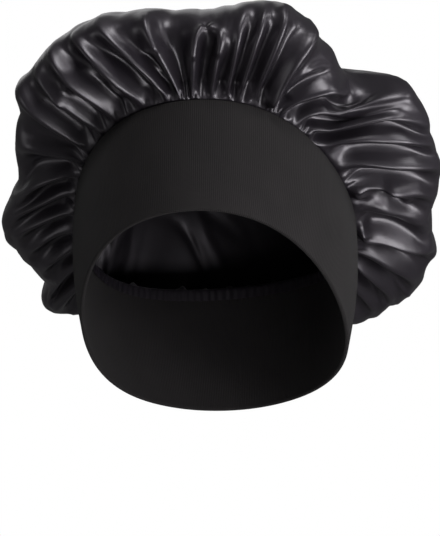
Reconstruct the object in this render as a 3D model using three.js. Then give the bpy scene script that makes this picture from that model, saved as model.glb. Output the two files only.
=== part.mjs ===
// A sleep bonnet: a satin crown gathered onto a wide stretch-knit band, in the shape it has on a head.
// Millimetres, +Z up, the forehead towards -Y, the wearer's left towards +X. The origin is the
// middle of the head opening.
import * as THREE from "three";

// The two loops that shape the band. y and z are where a loop passes the forehead, the side of the
// head and the nape; shoulder lifts it between the forehead and the side.
const RIM = {
  halfWidth: 74.8,
  y: { front: -84.5, side: 0, back: 84.5 },
  z: { front: 66, side: -4, back: -52 },
  shoulder: 12,
};
const SEAM = {
  halfWidth: 81.6,
  y: { front: -39.5, side: 45.6, back: 114 },
  z: { front: 127, side: 56, back: 20 },
  shoulder: 16,
};

const BAND_WALL = 2.4; // two layers of knit
const BAND_SWELL = 2.5; // how far the band rounds out over the head between its edges
const BAND_COLUMNS = 60;
const BAND_ROWS = 6;

const EDGE_GAP = 0.35; // between the two pieces, which are sewn face to face

const CROWN_WALL = 1.6;
const ALLOWANCE = 7; // how far the crown's gathered edge reaches down inside the band
const BEND_START = 0.175; // below the band's top edge, where that edge starts to bend over it
const CROWN_LEAN = 38; // degrees that the crown's own axis leans back from upright
const CROWN_MIDDLE = new THREE.Vector3(0, 38, 68);
const CROWN_ROWS = 20;
const DEGREES_PER_PAIR = 7; // of the crown's columns, which pair a crest with a valley
const DROOP = 19; // how far the puff hangs down at the nape under its own weight
const PUFF_FULLNESS = 0.1; // how far the cloth between two valleys swells, as a share of their distance
const PUFF_ROUNDNESS = 1.7; // 1 makes the cloth between two valleys a sharp tent, more makes it round
const SWELL_QUICKNESS = 1.6; // how soon after the seam the cloth between two valleys swells
const CREST_WIDTH = 3.4;
const CREST_STARTS = 0.03; // share of the way to the middle where a crest has its whole height
const VALLEY_STARTS = 0.09; // the same for a valley's depth
const VALLEY_FLOOR = 0.8; // how far down from the crest to the middle of a valley its side ends
const FOLD_FADES = 0.45; // share of its own run from which a fold gets shallower
const LEAN_ENDS = 0.42; // share of the way to the middle where a fold has reached its outer place
const STEP = 1e-3; // of share, for slopes that are measured
const TURN_STEP = 0.2; // of turn, for the same

// The puff's outline, from the seam over its widest place to the crown's middle. out is a share of
// the lobe's reach, inward a share of the seam's radius, up is along the crown's axis.
const PUFF = [
  { place: "seam", out: 0, inward: 0, up: 0.8 },
  { place: "lip", out: 0.36, inward: 0, up: 6 },
  { place: "flank", out: 0.8, inward: 0, up: 14 },
  { place: "widest", out: 1, inward: 0, up: 27 },
  { place: "shoulder", out: 0.88, inward: 0.02, up: 43 },
  { place: "slope", out: 0.5, inward: 0.15, up: 60 },
  { place: "top", out: 0.18, inward: 0.46, up: 76 },
  { place: "dome", out: 0.04, inward: 0.78, up: 86 },
  { place: "middle", out: 0, inward: 1, up: 89 },
];

// The lobes of the puff and the dents between them, by their turn round the head from the forehead
// towards the wearer's left, and how far each stands out from the seam.
const LOBES = [
  { turn: -172, reach: 46 },
  { turn: -158, reach: 42 },
  { turn: -142, reach: 52 },
  { turn: -130, reach: 43 },
  { turn: -116, reach: 58 },
  { turn: -107, reach: 41 },
  { turn: -86, reach: 48 },
  { turn: -73, reach: 35 },
  { turn: -63, reach: 38 },
  { turn: -56, reach: 41 },
  { turn: -48, reach: 48 },
  { turn: -31, reach: 49 },
  { turn: 6, reach: 33 },
  { turn: 30, reach: 50 },
  { turn: 45, reach: 39 },
  { turn: 54, reach: 26 },
  { turn: 63, reach: 56 },
  { turn: 79, reach: 53 },
  { turn: 95, reach: 45 },
  { turn: 114, reach: 53 },
  { turn: 130, reach: 59 },
  { turn: 146, reach: 61 },
  { turn: 159, reach: 49 },
  { turn: 172, reach: 46 },
];

// The satin's folds: the turns of each crest on the seam and on the puff and how high it is, then
// how deep the valley after it is, and how far both run as a share of the way to the crown's middle.
const FOLDS = [
  { seam: -172, outer: -174, crest: 3, valley: 7, runs: 0.38 },
  { seam: -162, outer: -165, crest: 4, valley: 8, runs: 0.3 },
  { seam: -152, outer: -156, crest: 2, valley: 7, runs: 0.34 },
  { seam: -141, outer: -147, crest: 4, valley: 8, runs: 0.42 },
  { seam: -130, outer: -137, crest: 3, valley: 8, runs: 0.28 },
  { seam: -120, outer: -128, crest: 3, valley: 7, runs: 0.3 },
  { seam: -111, outer: -120, crest: 4, valley: 8, runs: 0.34 },
  { seam: -102, outer: -112, crest: 3, valley: 7, runs: 0.26 },
  { seam: -93, outer: -104, crest: 4, valley: 8, runs: 0.28 },
  { seam: -84, outer: -97, crest: 3, valley: 7, runs: 0.26 },
  { seam: -76, outer: -91, crest: 4, valley: 7, runs: 0.3 },
  { seam: -68, outer: -85, crest: 3, valley: 7, runs: 0.32 },
  { seam: -60, outer: -78, crest: 5, valley: 8, runs: 0.42 },
  { seam: -54, outer: -61, crest: 3, valley: 7, runs: 0.4 },
  { seam: -48, outer: -47, crest: 6, valley: 8, runs: 0.45 },
  { seam: -39, outer: -41, crest: 3, valley: 7, runs: 0.4 },
  { seam: -30, outer: -34.5, crest: 6, valley: 8, runs: 0.5 },
  { seam: -17, outer: -27.5, crest: 6, valley: 8, runs: 0.4 },
  { seam: -6, outer: -21, crest: 7, valley: 7, runs: 0.4 },
  { seam: -1.5, outer: -9, crest: 3, valley: 8, runs: 0.5 },
  { seam: 3.5, outer: 7, crest: 7, valley: 9, runs: 0.38 },
  { seam: 10.5, outer: 15, crest: 6, valley: 7, runs: 0.3 },
  { seam: 16.5, outer: 19, crest: 5, valley: 7, runs: 0.45 },
  { seam: 21, outer: 24, crest: 7, valley: 8, runs: 0.45 },
  { seam: 26.5, outer: 29, crest: 5, valley: 8, runs: 0.5 },
  { seam: 32, outer: 36.5, crest: 7, valley: 8, runs: 0.56 },
  { seam: 37.5, outer: 54.5, crest: 6, valley: 8, runs: 0.45 },
  { seam: 45, outer: 60, crest: 4, valley: 8, runs: 0.36 },
  { seam: 49.5, outer: 70.5, crest: 7, valley: 8, runs: 0.42 },
  { seam: 58, outer: 75, crest: 6, valley: 8, runs: 0.4 },
  { seam: 68, outer: 80.5, crest: 6, valley: 8, runs: 0.4 },
  { seam: 77, outer: 89, crest: 5, valley: 7, runs: 0.34 },
  { seam: 87, outer: 97, crest: 2, valley: 7, runs: 0.3 },
  { seam: 100, outer: 106, crest: 5, valley: 8, runs: 0.38 },
  { seam: 113, outer: 121, crest: 5, valley: 8, runs: 0.32 },
  { seam: 122, outer: 136, crest: 5, valley: 8, runs: 0.28 },
  { seam: 132, outer: 143, crest: 4, valley: 7, runs: 0.28 },
  { seam: 142, outer: 150, crest: 4, valley: 8, runs: 0.36 },
  { seam: 151, outer: 158, crest: 3, valley: 7, runs: 0.28 },
  { seam: 160, outer: 165, crest: 4, valley: 8, runs: 0.36 },
  { seam: 170, outer: 173, crest: 3, valley: 7, runs: 0.3 },
  { seam: 179, outer: 179.5, crest: 4, valley: 8, runs: 0.36 },
];

const radians = THREE.MathUtils.degToRad;
const range = (count) => Array.from({ length: count }, (_, index) => index);
const UP = new THREE.Vector3(0, 0, 1);
const CROWN_AXIS = new THREE.Vector3(0, Math.sin(radians(CROWN_LEAN)), Math.cos(radians(CROWN_LEAN)));

// The smooth value round the head that passes the three stated ones.
function around({ front, side, back }, turn) {
  const angle = radians(turn);
  const mean = (front + back + 2 * side) / 4;
  const lean = (front - back) / 2;
  const saddle = (front + back - 2 * side) / 4;
  return mean + lean * Math.cos(angle) + saddle * Math.cos(2 * angle);
}

function loopPoint(loop, turn) {
  const cos = Math.cos(radians(turn));
  const sin = Math.sin(radians(turn));
  const shoulder = (loop.shoulder * sin * sin * cos * (1 + cos)) / 2;
  return new THREE.Vector3(
    loop.halfWidth * sin,
    around(loop.y, turn),
    around(loop.z, turn) + shoulder,
  );
}

// The unit normal, away from the head, of a surface given as a function of turn and share.
function normalOf(surface, turn, share) {
  const acrossTurn = surface(turn + TURN_STEP, share).sub(surface(turn - TURN_STEP, share));
  const alongShare = surface(turn, share + STEP).sub(surface(turn, share - STEP));
  return acrossTurn.cross(alongShare).normalize();
}

// The middle of the band's wall, from the rim at share 0 to the seam at share 1.
function flatBand(turn, share) {
  return loopPoint(RIM, turn).lerp(loopPoint(SEAM, turn), share);
}

function bandPoint(turn, share) {
  const swell = BAND_SWELL * Math.sin(Math.PI * share);
  return flatBand(turn, share).addScaledVector(normalOf(flatBand, turn, share), swell);
}

// A point off the middle of the band's wall: off is away from the head, along is up the band.
function nearBand(turn, share, off, along) {
  const point = bandPoint(turn, share);
  const upBand = bandPoint(turn, share + STEP).sub(bandPoint(turn, share - STEP)).normalize();
  return point.addScaledVector(normalOf(bandPoint, turn, share), off).addScaledVector(upBand, along);
}

// A closed ring from columns of points, where each column is one closed section.
function ringGeometry(columns) {
  const rows = columns[0].length;
  const at = (column, row) => (column % columns.length) * rows + (row % rows);
  const faces = [];
  for (let c = 0; c < columns.length; c++) {
    for (let r = 0; r < rows; r++) {
      faces.push(at(c, r), at(c + 1, r), at(c + 1, r + 1));
      faces.push(at(c, r), at(c + 1, r + 1), at(c, r + 1));
    }
  }
  return indexed(columns.flat(), faces);
}

function indexed(points, faces) {
  const geometry = new THREE.BufferGeometry().setFromPoints(points);
  geometry.setIndex(faces);
  geometry.computeVertexNormals();
  return geometry;
}

// The band: the outer layer from its top edge down to the rim, round the fold, and up inside.
function bandGeometry() {
  const half = BAND_WALL / 2;
  const columns = [];
  for (let c = 0; c < BAND_COLUMNS; c++) {
    const turn = (360 * c) / BAND_COLUMNS;
    const column = [];
    for (let r = 0; r <= BAND_ROWS; r++) {
      column.push(nearBand(turn, r / BAND_ROWS, half, r === BAND_ROWS ? -EDGE_GAP : 0));
    }
    for (let r = BAND_ROWS; r >= 0; r--) {
      column.push(nearBand(turn, r / BAND_ROWS, -half, r === BAND_ROWS ? -EDGE_GAP : 0));
    }
    for (const fold of [1, 2, 3]) {
      const angle = (fold * Math.PI) / 4;
      column.push(nearBand(turn, 0, -half * Math.cos(angle), -half * Math.sin(angle)));
    }
    columns.push(column);
  }
  return ringGeometry(columns);
}

// How far the puff stands out at a turn: level at each lobe and dent, smooth between.
function reachAt(turn) {
  const wrapped = THREE.MathUtils.euclideanModulo(turn + 180, 360) - 180;
  const next = LOBES.findIndex((lobe) => lobe.turn > wrapped);
  const after = LOBES[Math.max(next, 0)];
  const before = LOBES.at(next <= 0 ? -1 : next - 1);
  const span = THREE.MathUtils.euclideanModulo(after.turn - before.turn, 360);
  const done = THREE.MathUtils.euclideanModulo(wrapped - before.turn, 360) / span;
  return THREE.MathUtils.lerp(before.reach, after.reach, done * done * (3 - 2 * done));
}

const puffOutline = new THREE.CatmullRomCurve3(
  PUFF.map(({ out, inward, up }) => new THREE.Vector3(out, inward, up)),
  false,
  "catmullrom",
  0.5,
);

// The crown without its folds, from the seam at share 0 to its middle at share 1.
function plainCrown(turn, share) {
  const { x: out, y: inward, z: up } = puffOutline.getPoint(THREE.MathUtils.clamp(share, 0, 1));
  const fromMiddle = loopPoint(SEAM, turn).sub(CROWN_MIDDLE);
  const seamHeight = fromMiddle.dot(CROWN_AXIS);
  const spoke = fromMiddle.addScaledVector(CROWN_AXIS, -seamHeight);
  const radius = spoke.length();
  const droop = (DROOP * out * out * (1 - Math.cos(radians(turn)))) / 2;
  return CROWN_MIDDLE.clone()
    .addScaledVector(spoke.normalize(), radius * (1 - inward) + reachAt(turn) * out)
    .addScaledVector(CROWN_AXIS, seamHeight * (1 - inward) + up)
    .addScaledVector(UP, -droop);
}

// How much of a crest or valley is there at a share of the way: quickly in, slowly out.
function foldStrength(fold, share, starts) {
  const rise = THREE.MathUtils.smoothstep(share, 0, starts);
  const fade = 1 - THREE.MathUtils.smoothstep(share, fold.runs * FOLD_FADES, fold.runs);
  return rise * fade;
}

function foldTurn(fold, share) {
  const lean = THREE.MathUtils.smoothstep(share, 0, LEAN_ENDS);
  return THREE.MathUtils.lerp(fold.seam, fold.outer, lean);
}

// How far a fold's crest lifts the cloth at a distance round the head from it.
function crestHeight(fold, distance, share) {
  const height = fold.crest * foldStrength(fold, share, CREST_STARTS);
  return height * Math.exp(-((distance / CREST_WIDTH) ** 2));
}

// A place on the crown between one crest and the next: the middle of the wall, and the way out of it.
function crownPlace(fold, next, between, share) {
  const start = foldTurn(fold, share);
  const width = THREE.MathUtils.euclideanModulo(foldTurn(next, share) - start, 360);
  const turn = start + width * between;
  const gap = radians(width) * SEAM.halfWidth;
  const toValley = 2 * Math.min(between, 1 - between);
  const swell = Math.sin(Math.PI * Math.min(1, share * SWELL_QUICKNESS));
  const fullness = PUFF_FULLNESS * swell * gap * (1 - toValley ** PUFF_ROUNDNESS);
  const side = THREE.MathUtils.smoothstep(toValley, 0, VALLEY_FLOOR);
  const valley = fold.valley * foldStrength(fold, share, VALLEY_STARTS) * side;
  const crests = crestHeight(fold, between * gap, share) + crestHeight(next, (1 - between) * gap, share);
  const normal = normalOf(plainCrown, turn, share);
  return { middle: plainCrown(turn, share).addScaledVector(normal, fullness + crests - valley), normal };
}

// The crown's gathered edge, from its end inside the band up and over the band's top edge: how far
// the middle of the wall is off the band's own, how far up the band, and which way the wall's outer
// side faces, in degrees from outward (0) to down the band (-90).
function gatheredEdge(turn) {
  const inside = -(BAND_WALL / 2 + EDGE_GAP + CROWN_WALL / 2);
  const over = CROWN_WALL / 2;
  const section = [
    { off: inside, along: -ALLOWANCE, faces: 0 },
    { off: inside, along: -EDGE_GAP - BEND_START, faces: 0 },
    { off: inside + over / 2, along: over, faces: -53 },
    { off: 0, along: over, faces: -90 },
    { off: BAND_WALL / 2 + over, along: over, faces: -90 },
  ];
  const outward = normalOf(bandPoint, turn, 1);
  const upBand = bandPoint(turn, 1).sub(bandPoint(turn, 1 - STEP)).normalize();
  return section.map(({ off, along, faces }) => ({
    middle: nearBand(turn, 1, off, along),
    normal: outward
      .clone()
      .multiplyScalar(Math.cos(radians(faces)))
      .addScaledVector(upBand, Math.sin(radians(faces))),
  }));
}

// The crown: one satin wall from its gathered edge to its middle, hollow inside.
function crownGeometry() {
  const columns = FOLDS.flatMap((fold, f) => {
    const next = FOLDS[(f + 1) % FOLDS.length];
    const seamGap = THREE.MathUtils.euclideanModulo(next.seam - fold.seam, 360);
    const outerGap = THREE.MathUtils.euclideanModulo(next.outer - fold.outer, 360);
    const count = 2 * Math.round((seamGap + outerGap) / 2 / DEGREES_PER_PAIR);
    return range(count).map((c) => {
      const between = c / count;
      const shares = range(CROWN_ROWS).slice(1).map((r) => r / CROWN_ROWS);
      const puff = shares.map((share) => crownPlace(fold, next, between, share));
      return [...gatheredEdge(fold.seam + between * seamGap), ...puff];
    });
  });
  const rows = columns[0].length;
  const skin = (side) =>
    columns.flat().map(({ middle, normal }) =>
      middle.clone().addScaledVector(normal, (side * CROWN_WALL) / 2),
    );
  const top = plainCrown(0, 1);
  const topOf = (side) => top.clone().addScaledVector(CROWN_AXIS, (side * CROWN_WALL) / 2);
  const inside = columns.length * rows;
  const outerTop = 2 * inside;
  const innerTop = outerTop + 1;
  const at = (column, row) => (column % columns.length) * rows + row;
  const faces = [];
  for (const c of range(columns.length)) {
    for (const r of range(rows - 1)) {
      const [a, b, d, e] = [at(c, r), at(c + 1, r), at(c + 1, r + 1), at(c, r + 1)];
      faces.push(a, b, d, a, d, e);
      faces.push(inside + a, inside + d, inside + b, inside + a, inside + e, inside + d);
    }
    const [left, right] = [at(c, rows - 1), at(c + 1, rows - 1)];
    faces.push(left, right, outerTop, inside + right, inside + left, innerTop);
    const [edge, nextEdge] = [at(c, 0), at(c + 1, 0)];
    faces.push(inside + edge, inside + nextEdge, nextEdge, inside + edge, nextEdge, edge);
  }
  return indexed([...skin(1), ...skin(-1), topOf(1), topOf(-1)], faces);
}

const knit = new THREE.MeshStandardMaterial({ color: 0x1b1a1c, roughness: 0.9, metalness: 0 });
const satin = new THREE.MeshStandardMaterial({ color: 0x141316, roughness: 0.3, metalness: 0 });

const bonnet = new THREE.Group();
for (const [name, geometry, material] of [
  ["knit_band", bandGeometry(), knit],
  ["satin_crown", crownGeometry(), satin],
]) {
  const mesh = new THREE.Mesh(geometry, material);
  mesh.name = name;
  bonnet.add(mesh);
}

export default bonnet;
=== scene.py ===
"""A black satin sleep bonnet on a pale studio floor, in the shape it has on a head."""
import math

import bpy
import numpy as np
from mathutils import Matrix, Vector


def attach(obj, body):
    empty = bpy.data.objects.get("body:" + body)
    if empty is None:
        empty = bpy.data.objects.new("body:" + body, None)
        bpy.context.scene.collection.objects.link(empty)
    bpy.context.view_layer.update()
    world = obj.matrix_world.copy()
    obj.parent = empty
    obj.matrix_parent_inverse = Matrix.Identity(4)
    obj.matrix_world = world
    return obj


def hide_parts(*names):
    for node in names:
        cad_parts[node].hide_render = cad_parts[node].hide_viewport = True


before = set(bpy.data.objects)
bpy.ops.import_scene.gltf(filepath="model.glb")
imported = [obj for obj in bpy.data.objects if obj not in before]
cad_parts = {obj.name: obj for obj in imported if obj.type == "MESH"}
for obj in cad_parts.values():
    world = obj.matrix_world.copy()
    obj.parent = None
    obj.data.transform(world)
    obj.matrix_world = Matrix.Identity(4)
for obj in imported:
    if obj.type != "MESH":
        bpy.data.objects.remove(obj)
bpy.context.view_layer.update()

MM = 0.001

# The two loops of the band and the crown's form, as in the model: a loop passes the forehead, the
# side of the head and the nape, in millimetres.
RIM = dict(half_width=74.8, y=(-84.5, 0, 84.5), z=(66, -4, -52), shoulder=12)
SEAM = dict(half_width=81.6, y=(-39.5, 45.6, 114), z=(127, 56, 20), shoulder=16)
BAND_SWELL = 2.5
BAND_WALL = 2.4
CROWN_LEAN = math.radians(38)
CROWN_AXIS = np.array([0, math.sin(CROWN_LEAN), math.cos(CROWN_LEAN)])
CROWN_MIDDLE = np.array([0, 38.0, 68.0])
DROOP = 19  # how far the crown sinks behind, under its own weight
STEP = 1e-3
SEED = 5

# out as a share of the lobe's reach, inward as a share of the seam's radius, up in millimetres
PUFF = [
    (0, 0, 0.8),
    (0.36, 0, 6),
    (0.8, 0, 14),
    (1, 0, 27),
    (0.88, 0.02, 43),
    (0.5, 0.15, 60),
    (0.18, 0.46, 76),
    (0.04, 0.78, 86),
    (0, 1, 89),
]

# turn round the head in degrees, reach in millimetres
LOBES = [
    (-172, 46), (-158, 42), (-142, 52), (-130, 43), (-116, 58), (-107, 41), (-86, 48), (-73, 35),
    (-63, 38), (-56, 41), (-48, 48), (-31, 49), (6, 33), (30, 50), (45, 39), (54, 26), (63, 56),
    (79, 53), (95, 45), (114, 53), (130, 59), (146, 61), (159, 49), (172, 46),
]
SETTLING = 2  # the simulation draws the lobes in by this much, so they start longer

# Each fold of the satin: the turns of its crest on the seam and on the puff and its height, then the
# depth of the valley after it, and how far both run as a share of the way to the middle
FOLDS = [
    (-172, -174, 3, 7, 0.38), (-162, -165, 4, 8, 0.3), (-152, -156, 2, 7, 0.34),
    (-141, -147, 4, 8, 0.42), (-130, -137, 3, 8, 0.28), (-120, -128, 3, 7, 0.3),
    (-111, -120, 4, 8, 0.34), (-102, -112, 3, 7, 0.26), (-93, -104, 4, 8, 0.28),
    (-84, -97, 3, 7, 0.26), (-76, -91, 4, 7, 0.3), (-68, -85, 3, 7, 0.32), (-60, -78, 5, 8, 0.42),
    (-54, -61, 3, 7, 0.4), (-48, -47, 6, 8, 0.45), (-39, -41, 3, 7, 0.4), (-30, -34.5, 6, 8, 0.5),
    (-17, -27.5, 6, 8, 0.4), (-6, -21, 7, 7, 0.4), (-1.5, -9, 3, 8, 0.5), (3.5, 7, 7, 9, 0.38),
    (10.5, 15, 6, 7, 0.3), (16.5, 19, 5, 7, 0.45), (21, 24, 7, 8, 0.45),
    (26.5, 29, 5, 8, 0.5), (32, 36.5, 7, 8, 0.56), (37.5, 54.5, 6, 8, 0.45), (45, 60, 4, 8, 0.36),
    (49.5, 70.5, 7, 8, 0.42), (58, 75, 6, 8, 0.4), (68, 80.5, 6, 8, 0.4), (77, 89, 5, 7, 0.34),
    (87, 97, 2, 7, 0.3), (100, 106, 5, 8, 0.38), (113, 121, 5, 8, 0.32), (122, 136, 5, 8, 0.28),
    (132, 143, 4, 7, 0.28), (142, 150, 4, 8, 0.36), (151, 158, 3, 7, 0.28), (160, 165, 4, 8, 0.36),
    (170, 173, 3, 7, 0.3), (179, 179.5, 4, 8, 0.36),
]
FOLD_SEAM, FOLD_OUTER, FOLD_CREST, FOLD_VALLEY, FOLD_RUNS = np.array(FOLDS, float).T
SEAM_RISE = 0.03  # share of the way to the middle where the gathers have their whole height
CREST_STARTS = 0.2  # the same for a crest, which starts low so that it ends at the seam without a point
FOLD_FADES = 0.45  # share of its own run from which a fold gets shallower
PUFF_ROUNDNESS = 1.7  # 1 makes the cloth between two valleys a sharp tent, more makes it round
CREST_WIDTH = 3.4
NARROW_GAP = 15  # millimetres to the next fold, below which a crest is lower
VALLEY_STARTS = 0.09  # share of the way where a valley has its whole depth
VALLEY_FLOOR = 0.8  # from here to the middle between two crests a valley is flat
LEAN_ENDS = 0.42  # share of the way where a fold has reached its outer place
PUFF_FULLNESS = 0.05  # how far the cloth between two valleys swells, as a share of their distance
SWELL_QUICKNESS = 1.6  # how soon after the seam it swells

# The ridges in front that curve, fork or hook, each through three places: turn and share of the
# way to the middle at its start, half way and at its end; then height and width in millimetres,
# and the share of its length from which it gets lower
RIDGES = [
    (-33, 0.24, -38, 0.21, -42, 0.18, 3, 5, 0.6),
    (-23.5, 0.17, -22.5, 0.1, -18.5, 0.07, 4, 4, 0.6),
    (-7, 0.22, -7.5, 0.33, -7.5, 0.47, 3, 5, 0.6),
    (4.6, 0.2, 6, 0.28, 9, 0.35, 3, 3, 0.9),
    (12.6, 0.2, 13.2, 0.28, 9, 0.35, 3, 3, 0.9),
    (33.5, 0.02, 32, 0.2, 40, 0.44, 7, 4.5, 0.5),
    (34, 0.08, 39, 0.21, 48, 0.4, 6, 4, 0.5),
    (76, 0.02, 85, 0.1, 89, 0.22, 6, 4.5, 0.6),
    (79, 0.13, 85, 0.19, 89, 0.21, 4, 4, 0.7),
    (94, 0.01, 104, 0.11, 104, 0.36, 6, 5, 0.5),
]
RIDGE_STARTS = 0.15  # share of a ridge's length where it has its whole height
RIDGE_MERGING = 3  # the power by which ridges that meet are joined
RIDGE_TURNS = 25  # degrees from a ridge's middle beyond which it lifts nothing
RIDGE_MARGIN = 0.1  # share of the way past its end
RIDGE_PLACES = 80  # along its line, to measure distances from

# The small gathers between the folds: how many go round the seam, their height and how far they run
GATHERS = 118
GATHER_HEIGHT = 1.4
GATHER_RUNS = 0.2
GATHER_JITTER = 0.8
GATHER_WAVERS = (7, 16, 29)  # waves round the crown that shift the gathers
GATHER_MEAN = 0.55  # their mean height, as a share
GATHER_WAVES = 23  # of their height, round the crown
GATHER_FADE_STARTS = 0.1

# The fine creases near the seam: how many waves make them, their height and width, then the waves
# round the crown and along it
CREASE_WAVES = 14
CREASE_HEIGHT = 1.3
CREASE_WIDTH = 0.5  # as a share of the waves' spread
CREASE_TURNS = (16, 44)
CREASE_RUNS = (0.6, 2.2)
CREASE_PATCHES = 9  # smooth and creased patches round the crown
PATCH_EDGES = (-1.2, 0.8)
CREASE_RISE = (0.02, 0.1)  # shares of the way between which they rise
CREASE_FADE = (0.16, 0.4)

# The soft wrinkles over the crown: how many, then the range of each one's height, half width and half
# length in millimetres, how far from the middle it lies as a share of the disc's area, and how far it
# turns from the spoke and bends
WRINKLES = 64
WRINKLE_HEIGHT = (0.5, 1.9)
WRINKLE_WIDTH = (2.5, 6)
WRINKLE_LENGTH = (18, 46)
WRINKLE_PLACE = (0.08, 0.7)
WRINKLE_TURN = 0.55
WRINKLE_BEND = 0.004
WRINKLE_SIGNS = (-0.6, 1)  # a hollow is shallower than a ridge is high
WRINKLE_RISE = (0.1, 0.36)

# The sewn edge, from its cut end inside the band up to the band's top edge: millimetres off the
# middle of the band's wall and up the band
SEWN_EDGE = [(-2.3, -7), (-2.3, -5.2), (-2.3, -3.4), (-2.3, -1.6), (-2.1, 0), (-1.3, 0.7)]
SEWN_RIPPLE = 0.35

DISC_RADIUS = 198  # the satin's cut, before it was gathered
COLUMNS_PER_DEGREE = 0.8  # of the simulated cloth; the finished mesh has twice as many
COARSE_ROWS = 76
ROW_CROWDING = 1.15  # above 1 the rows lie closer at the seam


def smoothstep(x, low, high):
    t = np.clip((x - low) / (high - low), 0, 1)
    return t * t * (3 - 2 * t)


def around(values, angle):
    front, side, back = values
    mean = (front + back + 2 * side) / 4
    return mean + (front - back) / 2 * np.cos(angle) + (front + back - 2 * side) / 4 * np.cos(2 * angle)


def loop_point(loop, turn):
    angle = np.radians(turn)
    cos, sin = np.cos(angle), np.sin(angle)
    lift = loop["shoulder"] * sin * sin * cos * (1 + cos) / 2
    return np.stack([loop["half_width"] * sin, around(loop["y"], angle), around(loop["z"], angle) + lift], -1)


def unit(vectors):
    return vectors / np.linalg.norm(vectors, axis=-1, keepdims=True)


def normal_of(surface, turn, share):
    across = surface(turn + 180 * STEP, share) - surface(turn - 180 * STEP, share)
    along = surface(turn, share + STEP) - surface(turn, share - STEP)
    return unit(np.cross(across, along))


def flat_band(turn, share):
    share = np.asarray(share, float)[..., None]
    return loop_point(RIM, turn) * (1 - share) + loop_point(SEAM, turn) * share


def band_point(turn, share):
    swell = BAND_SWELL * np.sin(np.pi * np.asarray(share, float))[..., None]
    return flat_band(turn, share) + normal_of(flat_band, turn, share) * swell


def near_band(turn, share, off, along):
    up_band = unit(band_point(turn, share + STEP) - band_point(turn, share - STEP))
    out = normal_of(band_point, turn, share)
    off, along = np.asarray(off, float)[..., None], np.asarray(along, float)[..., None]
    return band_point(turn, share) + out * off + up_band * along


def reach_at(turn):
    turns, reaches = np.array(LOBES, float).T
    wrapped = (turn + 180) % 360 - 180
    after = np.searchsorted(turns, wrapped, side="right") % len(turns)
    before = (after - 1) % len(turns)
    done = ((wrapped - turns[before]) % 360) / ((turns[after] - turns[before]) % 360)
    extra = SETTLING
    return extra + reaches[before] + (reaches[after] - reaches[before]) * done * done * (3 - 2 * done)


def through(rows, share):
    """The Catmull-Rom curve through the rows, for shares from 0 to 1."""
    rows = np.array(rows, float)
    ends = np.vstack([2 * rows[0] - rows[1], rows, 2 * rows[-1] - rows[-2]])
    place = np.clip(share, 0, 1) * (len(rows) - 1)
    i = np.minimum(place.astype(int), len(rows) - 2)
    t = (place - i)[..., None]
    a, b, c, d = ends[i], ends[i + 1], ends[i + 2], ends[i + 3]
    return b + t / 2 * (c - a + t * (2 * a - 5 * b + 4 * c - d + t * (3 * (b - c) + d - a)))


def plain_crown(turn, share):
    turn, share = np.broadcast_arrays(np.asarray(turn, float), np.asarray(share, float))
    out, inward, up = np.moveaxis(through(PUFF, share), -1, 0)
    from_middle = loop_point(SEAM, turn) - CROWN_MIDDLE
    seam_height = from_middle @ CROWN_AXIS
    spoke = from_middle - seam_height[..., None] * CROWN_AXIS
    radius = np.linalg.norm(spoke, axis=-1)
    radial = radius * (1 - inward) + reach_at(turn) * out
    point = CROWN_MIDDLE + unit(spoke) * radial[..., None]
    point = point + CROWN_AXIS * (seam_height * (1 - inward) + up)[..., None]
    point[..., 2] -= DROOP * out**2 * (1 - np.cos(np.radians(turn))) / 2
    return point


def ridge_heights(turn, share, places):
    """How far the sharp ridges lift each place of the crown."""
    lift = np.zeros(share.shape)
    done = np.linspace(0, 1, RIDGE_PLACES)
    weights = np.stack([(1 - done) * (1 - 2 * done), 4 * done * (1 - done), done * (2 * done - 1)], -1)
    for row in RIDGES:
        height, width, fades = row[6:]
        line = weights @ np.array(row[:6], float).reshape(3, 2)
        points = plain_crown(line[:, 0], line[:, 1])
        apart = np.abs((turn - line[:, 0].mean() + 180) % 360 - 180)
        near = np.argwhere((apart < RIDGE_TURNS) & (share < line[:, 1].max() + RIDGE_MARGIN))
        near = (near[:, 0], near[:, 1])
        far = np.linalg.norm(places[near][:, None] - points[None], axis=-1)
        nearest = far.argmin(1)
        along = smoothstep(done[nearest], 0, RIDGE_STARTS) * (1 - smoothstep(done[nearest], fades, 1))
        here = height * np.exp(-((far.min(1) / width) ** 2)) * along
        lift[near] = (lift[near] ** RIDGE_MERGING + here**RIDGE_MERGING) ** (1 / RIDGE_MERGING)
    return lift


def after(turns):
    """How far each turn lies before the next one round the crown."""
    return np.roll(turns, -1) - turns


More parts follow.
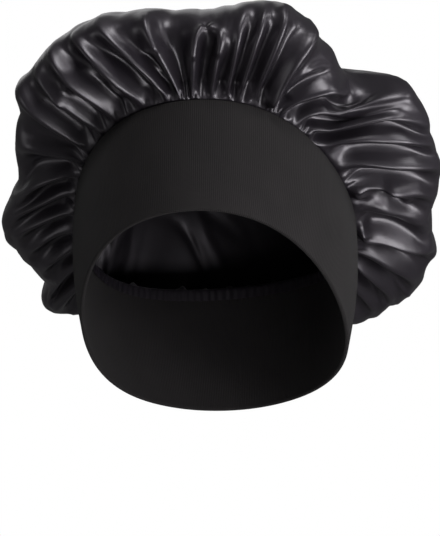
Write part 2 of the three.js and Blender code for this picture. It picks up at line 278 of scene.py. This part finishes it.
class Grid:
    """The crown's grid: columns of cloth round it, rows from the seam to the middle."""

    def __init__(self):
        gaps = (after(FOLD_SEAM) % 360 + after(FOLD_OUTER) % 360) / 2
        counts = 2 * np.maximum(2, np.round(gaps * COLUMNS_PER_DEGREE)).astype(int)
        fold = np.repeat(np.arange(len(FOLDS)), counts)[:, None]
        following = (fold + 1) % len(FOLDS)
        between = np.concatenate([np.arange(n) / n for n in counts])[:, None]
        rows = 2 * COARSE_ROWS - 1
        share = ((np.arange(rows) / (rows + 1)) ** ROW_CROWDING)[None, :]
        lean = smoothstep(share, 0, LEAN_ENDS)
        crest = FOLD_SEAM + (FOLD_OUTER - FOLD_SEAM) * lean[..., None]
        start = crest[0, :, fold[:, 0]]
        width = (crest[0, :, following[:, 0]] - start) % 360
        self.turn = start + width * between
        self.share = share + 0 * self.turn
        gap = np.radians(width) * SEAM["half_width"]
        apart = after(FOLD_SEAM) % 360 * np.radians(1) * SEAM["half_width"]
        smallest_gap = np.minimum(1, np.minimum(apart, np.roll(apart, 1)) / NARROW_GAP)
        depth = FOLD_VALLEY[fold] * (1 - smoothstep(share / FOLD_RUNS[fold], FOLD_FADES, 1))
        depth = depth * smoothstep(share, 0, VALLEY_STARTS)
        to_valley = 2 * np.minimum(between, 1 - between)
        swell = np.sin(np.pi * np.minimum(1, share * SWELL_QUICKNESS))
        height = PUFF_FULLNESS * swell * gap * (1 - to_valley**PUFF_ROUNDNESS)
        height -= depth * smoothstep(to_valley, 0, VALLEY_FLOOR)
        for crested, away in ((fold, between), (following, 1 - between)):
            runs = 1 - smoothstep(share / FOLD_RUNS[crested], FOLD_FADES, 1)
            sharp = np.exp(-((away * gap / CREST_WIDTH) ** 2)) * smallest_gap[crested]
            height += FOLD_CREST[crested] * smoothstep(share, 0, CREST_STARTS) * runs * sharp
        plain = plain_crown(self.turn, self.share)
        height += ridge_heights(self.turn, self.share, plain) * smoothstep(share, 0, SEAM_RISE)
        self.out = normal_of(plain_crown, self.turn, self.share)
        self.places = plain + self.out * height[..., None]
        starts = np.repeat(np.cumsum(gaps) - gaps, counts)
        self.angle = np.radians(starts + np.repeat(gaps, counts) * between[:, 0])
        self.radius = DISC_RADIUS * (1 - arc_share(share[0]))
        spokes = np.stack([np.cos(self.angle), np.sin(self.angle)], -1)
        self.flat = self.radius[None, :, None] * spokes[:, None]


def arc_share(share):
    """The length of cloth from the seam to a share of the way, as a part of all of it."""
    fine = np.linspace(0, 1, 200)
    places = plain_crown(np.arange(0, 360, 10)[:, None], fine[None, :])
    steps = np.linalg.norm(np.diff(places, axis=1), axis=-1)
    length = np.concatenate([[0], np.cumsum(steps.mean(0))])
    return np.interp(share, fine, length / length[-1])


def ring_faces(columns, rows, closed_rows=False):
    index = np.arange(columns * rows).reshape(columns, rows)
    right = np.roll(index, -1, 0)
    if closed_rows:
        quads = np.stack([index, right, np.roll(right, -1, 1), np.roll(index, -1, 1)], -1)
    else:
        quads = np.stack([index[:, :-1], right[:, :-1], right[:, 1:], index[:, 1:]], -1)
    return quads.reshape(-1, 4).tolist()


def cap_faces(columns, rows):
    last = np.arange(columns) * rows + rows - 1
    return np.stack([last, np.roll(last, -1), np.full(columns, columns * rows)], -1).tolist()


SIM_SCALE = 10  # the cloth solver is steadier on a larger copy
SIM_FRAMES = 18
SIM_CAP = 10  # millimetres that the simulation may move a place
DRIFT_REACH = 12  # columns over which its slow drift is measured


def simulated(grid, flat, top):
    """How far a cloth simulation that gathers the flat disc onto the seam moves each place."""
    columns, rows = grid.shape[:2]
    places = np.vstack([grid.reshape(-1, 3), top[None]]) * MM * SIM_SCALE
    mesh = bpy.data.meshes.new("cloth_run")
    mesh.from_pydata(places.tolist(), [], ring_faces(columns, rows) + cap_faces(columns, rows))
    cloth = bpy.data.objects.new("cloth_run", mesh)
    bpy.context.collection.objects.link(cloth)
    cloth.shape_key_add(name="gathered")
    cut = cloth.shape_key_add(name="cut")
    laid = np.concatenate([flat, 0 * flat[..., :1]], -1).reshape(-1, 3)
    laid = np.vstack([laid, [[0, 0, 0]]]) * MM * SIM_SCALE
    cut.data.foreach_set("co", laid.ravel())
    sewn = cloth.vertex_groups.new(name="sewn")
    sewn.add((np.arange(columns) * rows).tolist(), 1.0, "REPLACE")
    modifier = cloth.modifiers.new("cloth", "CLOTH")
    cloth_of = modifier.settings
    cloth_of.quality = 6
    cloth_of.mass = 0.3
    cloth_of.tension_stiffness = 20
    cloth_of.compression_stiffness = 10
    cloth_of.shear_stiffness = 3
    cloth_of.bending_stiffness = 0.05
    cloth_of.tension_damping = 10
    cloth_of.compression_damping = 10
    cloth_of.shear_damping = 10
    cloth_of.bending_damping = 0.5
    cloth_of.air_damping = 3
    cloth_of.vertex_group_mass = sewn.name
    cloth_of.rest_shape_key = cut
    cloth_of.use_pressure = True
    cloth_of.uniform_pressure_force = 0.1
    cloth_of.effector_weights.gravity = 0
    modifier.collision_settings.use_self_collision = False
    modifier.point_cache.frame_end = SIM_FRAMES
    for number in range(1, SIM_FRAMES + 1):
        bpy.context.scene.frame_set(number)
    result = cloth.evaluated_get(bpy.context.evaluated_depsgraph_get()).to_mesh()
    moved = np.empty(len(result.vertices) * 3, np.float32)
    result.vertices.foreach_get("co", moved)
    moved = moved.reshape(-1, 3) / MM / SIM_SCALE
    bpy.data.objects.remove(cloth)
    bpy.data.meshes.remove(mesh)
    bpy.context.scene.frame_set(1)
    shift = (moved - np.vstack([grid.reshape(-1, 3), top[None]]))[:-1].reshape(grid.shape)
    far = np.linalg.norm(shift, axis=-1, keepdims=True)
    shift *= SIM_CAP * np.tanh(far / SIM_CAP) / np.maximum(far, STEP)
    return shift - slow_part(shift)


def slow_part(shift):
    """The part of a shift that changes slowly over the crown, which would change its outline."""
    for _ in range(DRIFT_REACH**2 * 2):
        shift = (np.roll(shift, 1, 0) + 2 * shift + np.roll(shift, -1, 0)) / 4
        wide = np.concatenate([shift[:, :1], shift, shift[:, -1:]], 1)
        shift = (wide[:, :-2] + 2 * shift + wide[:, 2:]) / 4
    return shift


def finer(grid, axis, wraps):
    """Twice as many places along an axis, by a cubic through the neighbours."""
    grid = np.moveaxis(grid, axis, 0)
    if wraps:
        before, after, beyond = (np.roll(grid, n, 0) for n in (1, -1, -2))
        middle = (9 * (grid + after) - before - beyond) / 16
        out = np.stack([grid, middle], 1).reshape(-1, *grid.shape[1:])
    else:
        wide = np.concatenate([2 * grid[:1] - grid[1:2], grid, 2 * grid[-1:] - grid[-2:-1]])
        middle = (9 * (wide[1:-2] + wide[2:-1]) - wide[:-3] - wide[3:]) / 16
        out = np.empty((2 * len(grid) - 1, *grid.shape[1:]))
        out[::2] = grid
        out[1::2] = middle
    return np.moveaxis(out, 0, axis)


def mesh_piece(name, places, faces, uv, material, node=None):
    """A smooth mesh in metres, with uv in millimetres of cloth, riding on the bonnet."""
    mesh = bpy.data.meshes.new(name)
    mesh.from_pydata((places * MM).tolist(), [], faces)
    mesh.shade_smooth()
    if uv is not None:
        corners = np.empty(len(mesh.loops), np.int32)
        mesh.loops.foreach_get("vertex_index", corners)
        layer = mesh.uv_layers.new(name="cloth_mm")
        layer.data.foreach_set("uv", uv[corners].astype(np.float32).ravel())
    mesh.materials.append(material)
    piece = bpy.data.objects.new(name, mesh)
    bpy.context.collection.objects.link(piece)
    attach(piece, "root")
    if node:
        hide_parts(node)
    return piece


WAVE_PERIOD = 0.314  # the wave texture's scale for lines one unit apart


def new_material(name):
    material = bpy.data.materials.new(name)
    material.use_nodes = True
    return material, material.node_tree.nodes, material.node_tree.links


def mapped(nodes, links, value, low, high):
    """A value from 0 to 1 laid onto another range."""
    node = nodes.new("ShaderNodeMapRange")
    node.inputs["To Min"].default_value = low
    node.inputs["To Max"].default_value = high
    links.new(value, node.inputs["Value"])
    return node.outputs["Result"]


def noise(nodes, links, vector, scale, detail):
    node = nodes.new("ShaderNodeTexNoise")
    node.inputs["Scale"].default_value = scale
    node.inputs["Detail"].default_value = detail
    links.new(vector, node.inputs["Vector"])
    return node.outputs["Fac"]


def lines(nodes, links, vector, pitch, direction, wander):
    """Fine lines across the cloth, a pitch apart in the units of the vector."""
    node = nodes.new("ShaderNodeTexWave")
    node.bands_direction = direction
    node.inputs["Scale"].default_value = WAVE_PERIOD / pitch
    node.inputs["Distortion"].default_value = wander
    links.new(vector, node.inputs["Vector"])
    return node.outputs["Fac"]


def bumped(nodes, links, height, distance, strength, under=None):
    node = nodes.new("ShaderNodeBump")
    node.inputs["Distance"].default_value = distance
    node.inputs["Strength"].default_value = strength
    links.new(height, node.inputs["Height"])
    if under:
        links.new(under, node.inputs["Normal"])
    return node.outputs["Normal"]


def satin_material():
    """Black satin: a broad sheen from the floats of its weave and a narrow one from their gloss."""
    material, nodes, links = new_material("black_satin")
    shader = nodes["Principled BSDF"]
    cloth = nodes.new("ShaderNodeUVMap")
    cloth.uv_map = "cloth_mm"
    place = nodes.new("ShaderNodeTexCoord").outputs["Object"]
    tone = nodes.new("ShaderNodeMix")
    tone.data_type = "RGBA"
    tone.inputs["A"].default_value = (0.0085, 0.007, 0.0095, 1)
    tone.inputs["B"].default_value = (0.0135, 0.0115, 0.015, 1)
    links.new(noise(nodes, links, place, 30, 3), tone.inputs["Factor"])
    links.new(tone.outputs["Result"], shader.inputs["Base Color"])
    shader.inputs["Specular IOR Level"].default_value = 0.5
    shader.inputs["Specular Tint"].default_value = (0.97, 0.9, 1, 1)
    shader.inputs["Anisotropic"].default_value = 0.45
    along = nodes.new("ShaderNodeTangent")
    along.direction_type = "UV_MAP"
    along.uv_map = "cloth_mm"
    links.new(along.outputs["Tangent"], shader.inputs["Tangent"])
    wear = noise(nodes, links, place, 55, 5)
    links.new(mapped(nodes, links, wear, 0.36, 0.46), shader.inputs["Roughness"])
    shader.inputs["Coat Weight"].default_value = 0.32
    shader.inputs["Coat Roughness"].default_value = 0.3
    weave = lines(nodes, links, cloth.outputs["UV"], 0.45, "DIAGONAL", 0.4)
    puckers = noise(nodes, links, place, 140, 3)
    soft = bumped(nodes, links, puckers, 0.0007, 0.22)
    normal = bumped(nodes, links, weave, 0.00003, 0.3, soft)
    links.new(normal, shader.inputs["Normal"])
    return material


def knit_material():
    """Matt black fine-rib knit, a little faded and fluffy."""
    material, nodes, links = new_material("black_knit")
    shader = nodes["Principled BSDF"]
    cloth = nodes.new("ShaderNodeUVMap")
    cloth.uv_map = "cloth_mm"
    place = nodes.new("ShaderNodeTexCoord").outputs["Object"]
    tone = nodes.new("ShaderNodeMix")
    tone.data_type = "RGBA"
    tone.inputs["A"].default_value = (0.009, 0.0081, 0.0085, 1)
    tone.inputs["B"].default_value = (0.0143, 0.0127, 0.0133, 1)
    links.new(noise(nodes, links, place, 60, 6), tone.inputs["Factor"])
    links.new(tone.outputs["Result"], shader.inputs["Base Color"])
    shader.inputs["Roughness"].default_value = 0.85
    shader.inputs["Specular IOR Level"].default_value = 0.12
    shader.inputs["Sheen Weight"].default_value = 0.03
    shader.inputs["Sheen Roughness"].default_value = 0.5
    ribs = lines(nodes, links, cloth.outputs["UV"], 1.3, "X", 0.15)
    courses = lines(nodes, links, cloth.outputs["UV"], 0.8, "Y", 0.3)
    ribbed = bumped(nodes, links, ribs, 0.00022, 0.5)
    looped = bumped(nodes, links, courses, 0.0001, 0.35, ribbed)
    fluff = noise(nodes, links, place, 900, 4)
    links.new(bumped(nodes, links, fluff, 0.0002, 0.25, looped), shader.inputs["Normal"])
    return material


def gathers(grid):
    """The height of the small gathers, which are closest and deepest at the seam."""
    turn = grid.angle[:, None]
    rng = np.random.default_rng(SEED)
    waver = sum(np.sin(turn * order + rng.uniform(0, 2 * np.pi)) for order in GATHER_WAVERS)
    size = GATHER_MEAN + (1 - GATHER_MEAN) * np.sin(turn * GATHER_WAVES + 2 * np.sin(turn * 5))
    phase = turn * GATHERS + GATHER_JITTER * waver + 3 * grid.share * np.sin(turn * 11)
    rise = smoothstep(grid.share, 0, SEAM_RISE)
    fade = (1 - smoothstep(grid.share / GATHER_RUNS, GATHER_FADE_STARTS, 1)) ** 2
    return GATHER_HEIGHT * size * rise * fade * np.cos(phase)


def crossing_lines(phases, rng):
    """Sharp lines, from 0 to 1 high, where the sum of some waves passes zero."""
    waves = sum(np.cos(phase + rng.uniform(0, 2 * np.pi)) for phase in phases)
    return np.exp(-(((waves / math.sqrt(len(phases) / 2)) / CREASE_WIDTH) ** 2))


def creases(grid):
    """The height of the fine creases, which fan out from the seam and come and go round it."""
    rng = np.random.default_rng(SEED + 1)
    turn, share = grid.angle[:, None], grid.share
    fanned = []
    for _ in range(CREASE_WAVES):
        leaning = 2 * np.pi * rng.uniform(*CREASE_RUNS) * rng.choice([-1, 1])
        fanned.append(rng.integers(*CREASE_TURNS) * turn + leaning * share)
    patches = np.cos(CREASE_PATCHES * turn + 9 * share)
    patches = patches + np.cos((CREASE_PATCHES + 4) * turn - 7 * share + 2)
    near_seam = smoothstep(patches, *PATCH_EDGES) * smoothstep(share, *CREASE_RISE)
    near_seam = near_seam * (1 - smoothstep(share, *CREASE_FADE))
    return CREASE_HEIGHT * near_seam * crossing_lines(fanned, rng)


def wrinkles(grid):
    """The height of the soft wrinkles, which mostly run towards the middle of the crown."""
    rng = np.random.default_rng(SEED + 2)
    height = np.zeros(grid.share.shape)
    for _ in range(WRINKLES):
        spoke = rng.uniform(0, 2 * np.pi)
        middle = DISC_RADIUS * math.sqrt(rng.uniform(*WRINKLE_PLACE))
        heading = spoke + rng.normal(0, WRINKLE_TURN)
        bend = rng.normal(0, WRINKLE_BEND)
        away = grid.flat - middle * np.array([math.cos(spoke), math.sin(spoke)])
        along = away @ np.array([math.cos(heading), math.sin(heading)])
        across = away @ np.array([-math.sin(heading), math.cos(heading)]) - bend * along**2
        length, width = rng.uniform(*WRINKLE_LENGTH), rng.uniform(*WRINKLE_WIDTH)
        rise = rng.uniform(*WRINKLE_HEIGHT) * rng.choice(WRINKLE_SIGNS)
        height += rise * np.exp(-((across / width) ** 2) - (along / length) ** 2)
    return height * smoothstep(grid.share, *WRINKLE_RISE)


def sewn_edge(grid):
    """The rows of cloth from the cut end inside the band up to the seam."""
    off, along = np.array(SEWN_EDGE, float).T
    turn = grid.turn[:, :1]
    ripple = SEWN_RIPPLE * np.cos(grid.angle * GATHERS)[:, None] * (along <= 0)
    flat = DISC_RADIUS - along
    around_disc = grid.angle[:, None] + 0 * flat
    uv = np.stack([flat * np.cos(around_disc), flat * np.sin(around_disc)], -1)
    return near_band(turn + 0 * off, 1 + 0 * turn + 0 * off, off - ripple, along + 0 * turn), uv


def crown(material):
    grid = Grid()
    places, top = grid.places, plain_crown(0, 1)
    shift = simulated(places[::2, ::2], grid.flat[::2, ::2], top)
    places = places + finer(finer(shift, 0, True), 1, False)
    places = places + grid.out * (gathers(grid) + creases(grid) + wrinkles(grid))[..., None]
    edge, edge_uv = sewn_edge(grid)
    places = np.concatenate([edge, places], 1)
    flat = np.concatenate([edge_uv, grid.flat], 1)
    columns, rows = places.shape[:2]
    uv = np.vstack([flat.reshape(-1, 2), [[0, 0]]])
    faces = ring_faces(columns, rows) + cap_faces(columns, rows)
    whole = np.vstack([places.reshape(-1, 3), top[None]])
    piece = mesh_piece("crown_satin", whole, faces, uv, material, "satin_crown")
    return piece


BAND_COLUMNS = 480
BAND_LAYER_ROWS = 90
BAND_FOLD_ROWS = 7
BAND_COLUMN_PITCH = 1.22  # millimetres of knit
BAND_ROW_PITCH = 0.9


def band(material):
    turn = 180 + (np.arange(BAND_COLUMNS) * 360 / BAND_COLUMNS)[:, None]
    half = BAND_WALL / 2
    down = np.linspace(1, 0, BAND_LAYER_ROWS)
    fold = np.linspace(0, np.pi, BAND_FOLD_ROWS + 2)[1:-1]
    share = np.concatenate([down, 0 * fold, down[::-1]])[None, :] + 0 * turn
    off = np.concatenate([0 * down + half, half * np.cos(fold), 0 * down - half])[None, :] + 0 * turn
    along = np.concatenate([0 * down, -half * np.sin(fold), 0 * down])[None, :] + 0 * turn
    grid = near_band(turn + 0 * share, share, off, along)
    columns, rows = grid.shape[:2]
    faces = [face[::-1] for face in ring_faces(columns, rows)]
    across, down_band = np.arange(columns) * BAND_COLUMN_PITCH, np.arange(rows) * BAND_ROW_PITCH
    uv = np.stack(np.meshgrid(across, down_band, indexing="ij"), -1).reshape(-1, 2)
    piece = mesh_piece("band_knit", grid.reshape(-1, 3), faces, uv, material, "knit_band")
    return piece


# The studio, in metres: the light of the room, the floor, and the place that the lamps point at
ROOM_LIGHT = 0.1
FLOOR_Z = -0.26
FLOOR_RADIUS = 0.9
FLOOR_SIDES = 96
LAMPS_AIM = Vector((0, 0.03, 0.06))


def studio():
    world = bpy.data.worlds.new("studio")
    bpy.context.scene.world = world
    world.use_nodes = True
    nodes, links = world.node_tree.nodes, world.node_tree.links
    background = nodes["Background"]
    background.inputs["Color"].default_value = (1, 1, 1, 1)
    seen = nodes.new("ShaderNodeLightPath")
    level = nodes.new("ShaderNodeMapRange")
    level.inputs["To Min"].default_value = ROOM_LIGHT
    level.inputs["To Max"].default_value = 1.0
    links.new(seen.outputs["Is Camera Ray"], level.inputs["Value"])
    links.new(level.outputs["Result"], background.inputs["Strength"])
    floor_mesh = bpy.data.meshes.new("floor")
    angles = np.linspace(0, 2 * math.pi, FLOOR_SIDES + 1)[:-1]
    ring = [(FLOOR_RADIUS * math.cos(a), FLOOR_RADIUS * math.sin(a), FLOOR_Z) for a in angles]
    floor_mesh.from_pydata(ring, [], [list(range(FLOOR_SIDES))])
    floor = bpy.data.objects.new("floor", floor_mesh)
    bpy.context.collection.objects.link(floor)
    floor.visible_glossy = False
    material, nodes, links = new_material("floor_white")
    nodes["Principled BSDF"].inputs["Base Color"].default_value = (0.9, 0.9, 0.9, 1)
    nodes["Principled BSDF"].inputs["Roughness"].default_value = 0.8
    floor_mesh.materials.append(material)


def direction(azimuth, elevation):
    a, e = math.radians(azimuth), math.radians(elevation)
    return Vector((math.sin(a) * math.cos(e), -math.cos(a) * math.cos(e), math.sin(e)))


def softbox(name, azimuth, elevation, distance, width, height, power):
    light = bpy.data.lights.new(name, "AREA")
    light.shape = "RECTANGLE"
    light.size = width
    light.size_y = height
    light.energy = power
    lamp = bpy.data.objects.new(name, light)
    bpy.context.collection.objects.link(lamp)
    towards = direction(azimuth, elevation)
    lamp.location = LAMPS_AIM + towards * distance
    lamp.rotation_mode = "QUATERNION"
    lamp.visible_camera = False
    lamp.rotation_quaternion = (-towards).to_track_quat("-Z", "Y")


# The camera: degrees, metres, and the lens as a share of the sensor's width
CAMERA_AZIMUTH = 7.6
CAMERA_ELEVATION = 1.0
CAMERA_ROLL = 5.3
CAMERA_DISTANCE = 1.4
AIM_RIGHT = 0.0029
AIM_UP = 0.0337
FOCAL_PIXELS = 2442  # at the photo's height in pixels
PHOTO_HEIGHT = 536
LENS_PER_SENSOR = FOCAL_PIXELS / PHOTO_HEIGHT
SENSOR = 36  # millimetres


def camera():
    """The photo's viewpoint, aimed so that the bonnet lies in the frame as it does there."""
    roll = math.radians(CAMERA_ROLL)
    back = direction(CAMERA_AZIMUTH, CAMERA_ELEVATION)
    right = Vector((math.cos(math.radians(CAMERA_AZIMUTH)), math.sin(math.radians(CAMERA_AZIMUTH)), 0))
    up = back.cross(right)
    across = math.cos(roll) * right - math.sin(roll) * up
    upward = math.sin(roll) * right + math.cos(roll) * up
    place = back * CAMERA_DISTANCE
    towards = (across * AIM_RIGHT + upward * AIM_UP - place).normalized()
    side = towards.cross(upward).normalized()
    axes = Matrix((side, side.cross(towards), -towards)).transposed().to_4x4()
    data = bpy.data.cameras.new("camera")
    data.sensor_width = SENSOR
    data.lens = SENSOR * LENS_PER_SENSOR
    eye = bpy.data.objects.new("camera", data)
    bpy.context.collection.objects.link(eye)
    eye.matrix_world = Matrix.Translation(place) @ axes
    bpy.context.scene.camera = eye


camera()
studio()
softbox("low", 62, -14, 0.9, 0.4, 0.4, 6.5)
softbox("under", 35, -28, 0.7, 0.3, 0.3, 3)
softbox("key", 70, 30, 1.6, 0.5, 0.5, 5.8)
softbox("top", 24, 50, 1.6, 0.5, 0.5, 13)
softbox("left", -60, 0, 1.2, 0.5, 0.5, 1.1)
softbox("back", 205, 40, 1.6, 1.2, 1.2, 5.5)
bpy.context.scene.view_settings.view_transform = "Standard"

crown(satin_material())
band(knit_material())
